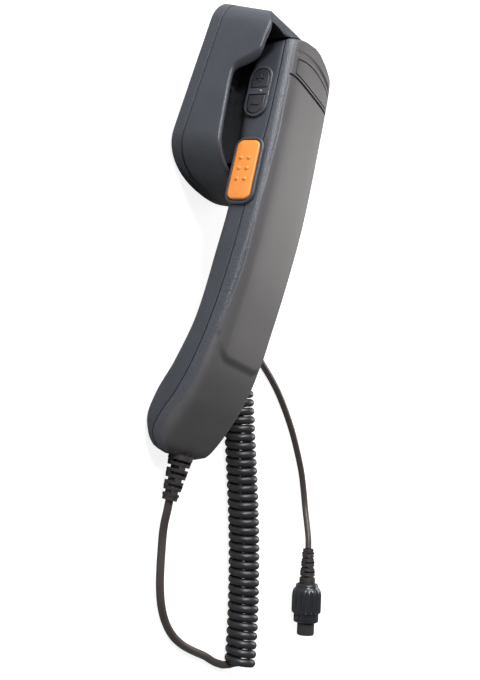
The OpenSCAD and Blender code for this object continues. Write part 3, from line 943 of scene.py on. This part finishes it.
def quarter(size, steps):
    # quarter round: pairs that go from (size, 0) to (0, size)
    turns = [pi / 2 * k / steps for k in range(steps + 1)]
    return [(size * (1 - sin(t)), size * (1 - cos(t))) for t in turns]


def capBar(length, width, radius, start, end, soften, crown):
    # as roundBar, with a rounded rim and a crowned outer face
    middle = width / 2
    profile = [(end, middle), (end, 0.0), (start + soften + 0.6, 0.0)]
    profile += [(start + x, inset) for x, inset in quarter(soften, 6)]
    for k in range(1, 9):
        inset = soften + (middle - soften) * k / 8
        profile.append((start - crown * (1 - ((middle - inset) / (middle - soften)) ** 2), inset))
    return loopBar(length, width, radius, profile)


def ringBar(length, width, radius, wall, start, end, soften):
    # frame of a rounded bar's outline, with a rounded outer rim and a softer inner one
    lip = soften * 0.5
    profile = [(end, 0.0), (start + soften + 0.4, 0.0)]
    profile += [(start + x, inset) for x, inset in quarter(soften, 5)]
    profile += [(start + x, wall - inset) for inset, x in quarter(lip, 4)]
    profile += [(end, wall), (end, 0.0)]
    return loopBar(length, width, radius, profile)


def softenCap(bm, start, offset):
    # round the rim between the outer face and the side wall
    wall = [e for e in bm.edges if len(e.link_faces) == 2 and e.calc_face_angle(0) > radians(60)
            and max(v.co.x for v in e.verts) < (start + 0.5) * mm]
    bevelEdges(bm, wall, offset, 5)
    return bm


def addTalkButton():
    length, width = side["talkSize"]
    cap = capBar(length, width, 3.0, -2.2, 3.2, 0.75, 0.3)
    flange = roundBar(length + 2.6, width + 2.2, 3.8, 3.1, 4.3)
    bumps = []
    for y in (-4.6, 0.4, 5.2):
        for z in (-1.9, 1.9):
            dome = bmesh.new()
            bmesh.ops.create_uvsphere(dome, u_segments=20, v_segments=12, radius=0.95 * mm)
            bmesh.ops.scale(dome, vec=(0.6, 1, 1), verts=dome.verts)
            bmesh.ops.translate(dome, vec=Vector((-2.42, y, z)) * mm, verts=dome.verts)
            bumps.append(dome)
    piece = plainObject("talk_key", moved(joined(cap, flange, *bumps), onSide(side["talkPlace"])))
    finishPiece(piece, "talk_button", look["orange_key"], ["ptt_button"], sharp=50)


def addTalkFrame():
    length, width = side["talkSize"]
    ring = ringBar(length + 4.0, width + 3.6, 5.3, 1.5, -1.5, 2.7, 0.9)
    piece = plainObject("talk_surround", moved(ring, onSide(side["talkPlace"])))
    finishPiece(piece, "handset", look["textured_case"], ["ptt_frame"], sharp=50)


def keyBar(extra, start, end, points=20):
    # one key's outline: round at the outer end, square at the divider
    radius = side["keyWide"] / 2 + extra
    near = side["divider"] / 2 - extra
    far = side["keyLength"] + side["divider"] / 2 - side["keyWide"] / 2
    bm = bmesh.new()
    verts = []
    for k in range(points + 1):
        t = -pi / 2 + pi * k / points
        verts.append(bm.verts.new(Vector((end, far + radius * cos(t), radius * sin(t))) * mm))
    corner = 0.7
    for z, first in ((1, pi / 2), (-1, pi)):
        for k in range(5):
            t = first + pi / 2 * k / 4
            spot = Vector((end, near + corner + corner * cos(t), z * (radius - corner) + corner * sin(t)))
            verts.append(bm.verts.new(spot * mm))
    face = bm.faces.new(verts)
    lifted = bmesh.ops.extrude_face_region(bm, geom=[face])
    top = [item for item in lifted["geom"] if isinstance(item, bmesh.types.BMVert)]
    bmesh.ops.translate(bm, vec=((start - end) * mm, 0, 0), verts=top)
    bmesh.ops.recalc_face_normals(bm, faces=bm.faces)
    return bm


def addKey(name, body, replaced, turn, marks):
    bm = softenCap(keyBar(0, -1.25, 2.4), -1.25, 0.55)
    flange = keyBar(0.7, 3.05, 4.3)
    neck = keyBar(0, 2.2, 3.1)
    signs = [
        box((-1.75, y - dy / 2, z - dz / 2), (-1.1, y + dy / 2, z + dz / 2), 0.12, 2)
        for y, z, dy, dz in marks
    ]
    flip = Matrix.Rotation(pi if turn else 0, 4, "X")
    shape = moved(joined(bm, flange, neck), flip)
    piece = plainObject(name, moved(joined(shape, *signs), onSide(side["keysPlace"])))
    finishPiece(piece, body, look["key_rubber"], [replaced], sharp=35)


def addKeyBezel():
    length, width = side["bezelSize"]
    outline = softenCap(roundBar(length, width, width / 2 - 0.01, -1.3, 2.7), -1.3, 0.6)
    piece = plainObject("key_surround", outline)
    flip = Matrix.Rotation(pi, 4, "X")
    cutOut(piece, keyBar(0.3, -5, 6), moved(keyBar(0.3, -5, 6), flip))
    piece.data.transform(onSide(side["keysPlace"]))
    finishPiece(piece, "handset", look["textured_case"], ["key_bezel"], sharp=35)
    # a small raised bump on the divider between the keys, coloured pale as a painted highlight; it is no lamp
    # and gives no light
    dot = bmesh.new()
    bmesh.ops.create_uvsphere(dot, u_segments=16, v_segments=10, radius=0.42 * mm)
    bmesh.ops.translate(dot, vec=Vector((-1.35, 0, 1.4)) * mm, verts=dot.verts)
    lamp = plainObject("key_painted_glint", moved(dot, onSide(side["keysPlace"])))
    finishPiece(lamp, "handset", look["switch_body"])


def windows():
    length, width = side["talkSize"]
    talk = moved(roundBar(length + 4.2, width + 3.8, 5.4, -5, 6), onSide(side["talkPlace"]))
    long, wide = side["bezelSize"]
    keys = moved(roundBar(long + 0.2, wide + 0.2, wide / 2, -5, 6), onSide(side["keysPlace"]))
    return talk, keys


def micHoles():
    # row of round holes in front of the microphone
    return joined(*(drill(0.6, 9, inFrame((x, -74, 6), [("X", 28.5)])) for x in (-3, 0, 3)))


def addTo(piece, bm):
    # join a loose shape to an object's mesh
    whole = bmesh.new()
    whole.from_mesh(piece.data)
    mesh = bpy.data.meshes.new("extra")
    bm.to_mesh(mesh)
    bm.free()
    whole.from_mesh(mesh)
    whole.to_mesh(piece.data)
    whole.free()
    bpy.data.meshes.remove(mesh)


def addBackCase():
    back = plainObject("back_case", buildBack())
    thicken(back, handle["wall"])
    cutOut(back, windows()[0])
    finishPiece(back, "handset", look["smooth_case"], ["back_shell"], sharp=28)
    print("back shell made:", len(back.data.polygons), "faces")


def addFrontCase():
    front = plainObject("front_case", buildFrontHandle())
    thicken(front, handle["wall"])
    cutOut(front, *windows(), micHoles())
    bridge = box((-19.5, 25, 20), (19.5, 84, 32))
    addTo(front, joined(buildCupRing(), buildShoulder(), buildPocketFloor(), bridge))
    markPaintedShade(front.data)
    finishPiece(front, "handset", look["textured_case"], ["front_shell"], sharp=35)
    print("front shell made:", len(front.data.polygons), "faces")


def addCover():
    cover = plainObject("cup_cover", buildCover())
    face = coverFace()
    whole = bmesh.new()
    whole.from_mesh(face.data)
    bpy.data.objects.remove(face)
    addTo(cover, whole)
    finishPiece(cover, "handset", look["textured_case"], ["ear_cover"], sharp=35)


def markPaintedShade(mesh):
    # painted shade: how much black is painted at each point down in the pocket between cup and handle, where
    # shade falls
    deep = mesh.attributes.new("deep", "FLOAT", "POINT")
    for vert in mesh.vertices:
        x, y, z = vert.co / mm
        turned = vert.normal
        out = turned.x * (1 if x > 0 else -1)
        inCup = 22.0 < y < 90.0 and z > 18 and 10 < abs(x) < 32.5
        cupWall = inCup and out < -0.25 and abs(x) > 23 and z < rimHeight(y) - 0.6
        floor = inCup and abs(z - pocketFloor(y)) < 0.3 and abs(turned.z) > 0.8
        endWall = y > 80 and turned.y < -0.4 and z < 50.5
        share = 1.0 if cupWall or floor or endWall else 0.0
        # painted shade also darkens the handle's side below a level that rises towards the ear end
        level = 33.5 + 11 * ease(66, 78, y)
        if inCup and abs(x) < 22.9 and y < 88 and z < level + 1.5:
            share = 0.9 * ease(level + 1.5, level - 2.5, z)
        deep.data[vert.index].value = share


def coverFace():
    outline = cupOutline(7.9, 0, 160)[:-1]
    bm = bmesh.new()
    rim = bm.faces.new([bm.verts.new(Vector(fromCup(x, v, 0.35)) * mm) for x, v in outline])
    lifted = bmesh.ops.extrude_face_region(bm, geom=[rim])
    up = Vector(fromCup(0, 0, 1.5)) - Vector(fromCup(0, 0, 0))
    top = [item for item in lifted["geom"] if isinstance(item, bmesh.types.BMVert)]
    bmesh.ops.translate(bm, vec=up * mm, verts=top)
    bmesh.ops.recalc_face_normals(bm, faces=bm.faces)
    piece = plainObject("cover_face", bm)
    holes = []
    for ring in (0, 1, 2):
        for k in range(max(6 * ring, 1)):
            turn = 2 * pi * k / max(6 * ring, 1)
            spot = fromCup(5 * ring * cos(turn), 42 + 5 * ring * sin(turn), 1)
            holes.append(drill(1.1, 8, inFrame(spot, [("X", cup["tilt"])])))
    cutOut(piece, joined(*holes))
    return piece


def addBadge():
    def surface(x, y):
        n = handle["squareness"]
        half, tall = halfWidth(y), (highest(y) - lowest(y)) / 2
        lift = (1 - min(abs(x) / half, 1) ** n) ** (1 / n) * tall
        return (highest(y) + lowest(y)) / 2 + lift + handle["panelRaise"]

    def place(u, v):
        x = (u - 0.5) * 2 * (badge["half"] - 0.2)
        head = badgeHead(x) - 0.2
        y = badge["foot"] + 0.2 + (head - badge["foot"] - 0.2) * v
        return (x, y, surface(x, y) - 0.06)

    def down(vert):
        vert.co.z -= 0.6 * mm

    piece = plainObject("name_plate", drawn(wrapGrid(60, 16, place), down))
    finishPiece(piece, "handset", look["badge"], ["badge_plate"], sharp=40)


addBackCase()
addFrontCase()
addCover()
addBadge()
addTalkFrame()
addTalkButton()
addKeyBezel()
plus = [(6.3, 0, 3.8, 0.8), (6.3, 0, 0.8, 3.8)]
minus = [(-6.3, 0, 0.8, 3.8)]
addKey("plus_key", "volume_up", "volume_up_key", False, plus)
addKey("minus_key", "volume_down", "volume_down_key", True, minus)
print("controls made")


# Gland and plug

gland = {"place": (0, -103.4, 8.9), "tilt": 99.0, "length": 20.2, "foot": 5.5, "tip": 3.5, "bars": 6}
plug = {"place": (151, -134, 8.4), "turn": 8.4, "flutes": 16, "fluteDepth": 0.7}


def strainRelief(length, foot, tip, bars, core, gap=1.25, head=2.4):
    # tapered sleeve cut into rings, with staggered bridges between them
    def radius(z):
        return foot + (tip - foot) * z / length
    pitch = (length - head - 1.6) / bars
    parts = [turned([(core, 0), (radius(0), 0.1), (radius(0) - 0.02, head), (core, head)], 48)]
    for k in range(bars):
        low = head + pitch * k + gap
        high = low + pitch - gap
        shape = [(core, low), (radius(low) - 0.15, low), (radius(low), low + 0.15)]
        shape += [(radius(high), high - 0.15), (radius(high) - 0.15, high), (core, high)]
        parts.append(turned(shape + [shape[0]], 48))
        for half in (0, pi):
            corner = (radius(low) - 0.12, 1.6, low + 0.1)
            bridge = box((radius(low) - 1.9, -1.6, low - gap - 0.1), corner, 0.1, 1)
            parts.append(moved(bridge, Matrix.Rotation(half + (k % 2) * pi / 2 + 0.6, 4, "Z")))
    stem = [(0.01, 0.2), (core + 0.35, 0.2), (core + 0.35, length - 1.8), (tip - 0.1, length - 1.7)]
    parts.append(turned(stem + [(tip - 0.15, length), (0.01, length)], 48))
    return joined(*parts)


def addGland():
    shape = strainRelief(gland["length"], gland["foot"], gland["tip"], gland["bars"], 2.3)
    rim = [(3.4, -4.5), (3.4, 0.3), (5.35, 0.3), (5.45, 0.6), (5.45, 1.2), (3.4, 1.2)]
    whole = joined(shape, turned(rim + [rim[0]], 48))
    piece = plainObject("cord_gland", moved(whole, inFrame(gland["place"], [("X", gland["tilt"])])))
    return finishPiece(piece, "handset", look["soft_rubber"], ["gland"], sharp=35)


def plugFrame():
    return inFrame(plug["place"], [("Z", plug["turn"]), ("X", 90)])


def addPlug():
    boot = strainRelief(19.2, 3.0, 4.6, 6, 2.1, gap=1.0, head=2.0)
    bootPiece = plainObject("boot", moved(boot, plugFrame()))
    finishPiece(bootPiece, "handset", look["soft_rubber"], ["plug_boot"], sharp=35)
    barrel = [(0.01, 19.3), (4.5, 19.3), (4.5, 41), (4.6, 41.1), (4.85, 41.4), (4.85, 47.2)]
    mouth = [(4.5, 47.7), (4.1, 47.7), (4.0, 47.4), (4.0, 45.4), (0.01, 45.4)]
    body = turned(barrel + mouth, 72)
    bodyPiece = plainObject("plug_body", moved(body, plugFrame()))
    finishPiece(bodyPiece, "handset", look["plug_plastic"], ["plug_shell"], sharp=35)
    neck = [(4.9, 19.5), (5.6, 19.5), (6.1, 19.8), (6.35, 20.4), (6.4, 21.4)]
    shoulder = [(6.9, 22.0), (7.5, 22.5), (7.95, 23.4), (8.25, 24.6), (8.38, 26.2), (8.4, 28.5)]
    skirt = [(8.4, 33.0), (8.38, 34.2), (8.2, 35.1), (7.7, 35.6), (7.15, 35.7), (7.05, 35.9)]
    rings = [(7.05, 36.9), (6.85, 37.0), (6.85, 37.3), (7.05, 37.4), (7.05, 38.9), (6.85, 39.0), (6.85, 39.3)]
    end = [(7.05, 39.4), (7.05, 40.1), (6.6, 40.6), (4.9, 40.6), neck[0]]
    sleeve = turned(neck + shoulder + skirt + rings + end, 192)
    for vert in sleeve.verts:
        x, y, z = vert.co / mm
        radius = hypot(x, y)
        if radius > 6.6 and 22.0 < z < 35.4:
            wave = (0.5 + 0.5 * cos(plug["flutes"] * atan2(y, x))) ** 2.2
            depth = plug["fluteDepth"] * wave * ease(22.0, 25.0, z) * ease(35.4, 34.0, z)
            vert.co.x *= 1 - depth / radius
            vert.co.y *= 1 - depth / radius
    tab = box((6.6, -1.2, 36.6), (7.9, 1.2, 38.8), 0.35, 3)
    tab = moved(tab, Matrix.Rotation(radians(200), 4, "Z"))
    sleevePiece = plainObject("sleeve", moved(joined(sleeve, tab), plugFrame()))
    finishPiece(sleevePiece, "sleeve", look["plug_sleeve"], ["coupling_sleeve"], sharp=50)
    return bootPiece, bodyPiece, sleevePiece


glandPiece = addGland()
plugPieces = addPlug()
print("gland and plug made")


# Inner pieces

def dressInnerPieces():
    slots = {part["node"]: part["material_slot"] for part in frame["record"]["subparts"]}
    for name, piece in cadNodes.items():
        if piece.hide_render:
            continue
        piece.data.materials.clear()
        piece.data.materials.append(look[slots[name]])


dressInnerPieces()


# Floor and light

studio = {
    "world": 0.17,
    "floor": 0.45,
    "floorGlow": 0.86,
    "lamps": [  # name, place, size, power, colour
        ("top", (-0.25, 0.8, 0.75), 0.8, 10.5, (1.0, 0.99, 0.98)),
        ("sheen", (-0.72, 0.4, 0.7), 0.2, 7.0, (0.93, 0.96, 1.0)),
        ("side", (-0.6, 0.95, 0.35), 0.6, 4.5, (0.92, 0.95, 1.0)),
        ("far", (0.9, 0.3, 0.5), 0.6, 3.5, (1.0, 0.96, 0.93)),
    ],
}


def addStudio():
    scene = bpy.context.scene
    scene.view_settings.view_transform = "Standard"
    world = bpy.data.worlds.new("studio")
    scene.world = world
    world.use_nodes = True
    back = world.node_tree.nodes["Background"]
    back.inputs["Color"].default_value = (1, 1, 1, 1)
    path = world.node_tree.nodes.new("ShaderNodeLightPath")
    strength = world.node_tree.nodes.new("ShaderNodeMapRange")
    world.node_tree.links.new(path.outputs["Is Camera Ray"], strength.inputs["Value"])
    strength.inputs["To Min"].default_value = studio["world"]
    strength.inputs["To Max"].default_value = 1.0
    world.node_tree.links.new(strength.outputs["Result"], back.inputs["Strength"])
    for name, place, size, strength, colour in studio["lamps"]:
        data = bpy.data.lights.new(name, "AREA")
        data.shape = "DISK"
        data.size = size
        data.energy = strength
        data.color = colour
        lamp = bpy.data.objects.new(name, data)
        scene.collection.objects.link(lamp)
        lamp.location = place
        lamp.rotation_euler = (Vector((0, 0, 0.03)) - Vector(place)).to_track_quat("-Z", "Y").to_euler()
    bm = bmesh.new()
    bmesh.ops.create_grid(bm, x_segments=1, y_segments=1, size=4)
    floor = plainObject("floor", bm)
    finish = Finish("floor", Roughness=0.9, Specular_IOR_Level=0.1)
    finish.surface.inputs["Base Color"].default_value = (studio["floor"],) * 3 + (1,)
    glow = finish.nodes.new("ShaderNodeEmission")
    glow.inputs["Strength"].default_value = studio["floorGlow"]
    total = finish.nodes.new("ShaderNodeAddShader")
    choose = finish.nodes.new("ShaderNodeMixShader")
    seen = finish.node("ShaderNodeLightPath", output="Is Camera Ray")
    finish.links.new(finish.surface.outputs[0], total.inputs[0])
    finish.links.new(glow.outputs[0], total.inputs[1])
    finish.links.new(seen.link, choose.inputs[0])
    finish.links.new(finish.surface.outputs[0], choose.inputs[1])
    finish.links.new(total.outputs[0], choose.inputs[2])
    finish.links.new(choose.outputs[0], finish.output.inputs["Surface"])
    floor.data.materials.append(finish.material)


addStudio()
print("studio made")
